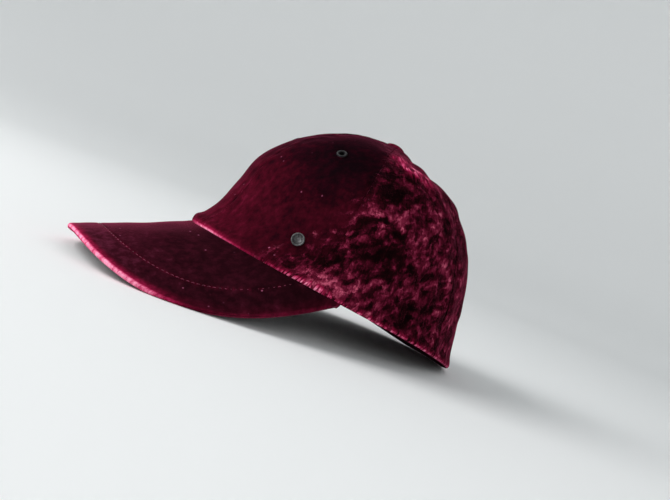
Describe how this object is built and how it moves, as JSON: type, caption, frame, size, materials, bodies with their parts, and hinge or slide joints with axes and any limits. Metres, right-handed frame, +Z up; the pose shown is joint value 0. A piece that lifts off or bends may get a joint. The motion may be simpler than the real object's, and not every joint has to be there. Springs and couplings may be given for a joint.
{
  "type": "velvet cap",
  "caption": "Soft velvet cap with a panelled crown, a stiff curved peak, a covered top button, air eyelets and a temple rivet.",
  "frame": {"origin": "on the surface that the cap rests on, under the middle of its bounding box", "axes": "+Z up, -Y the way the peak points, +X the wearer's left"},
  "size_m": [0.168, 0.2864, 0.1362],
  "materials": {
    "crown_velvet": "crushed burgundy velvet with a bright pile",
    "peak_velvet": "smooth dark burgundy velvet",
    "button_velvet": "burgundy velvet stretched over a button",
    "dark_metal": "dark gunmetal, pressed and lightly worn"
  },
  "bodies": {
    "root": {"front_left_panel": "crown_velvet", "front_right_panel": "crown_velvet", "side_left_panel": "crown_velvet", "side_right_panel": "crown_velvet", "back_left_panel": "crown_velvet", "back_right_panel": "crown_velvet", "peak": "peak_velvet", "top_button": "button_velvet", "eyelet_left": "dark_metal", "eyelet_right": "dark_metal", "temple_rivet": "dark_metal"}
  },
  "joints": []
}
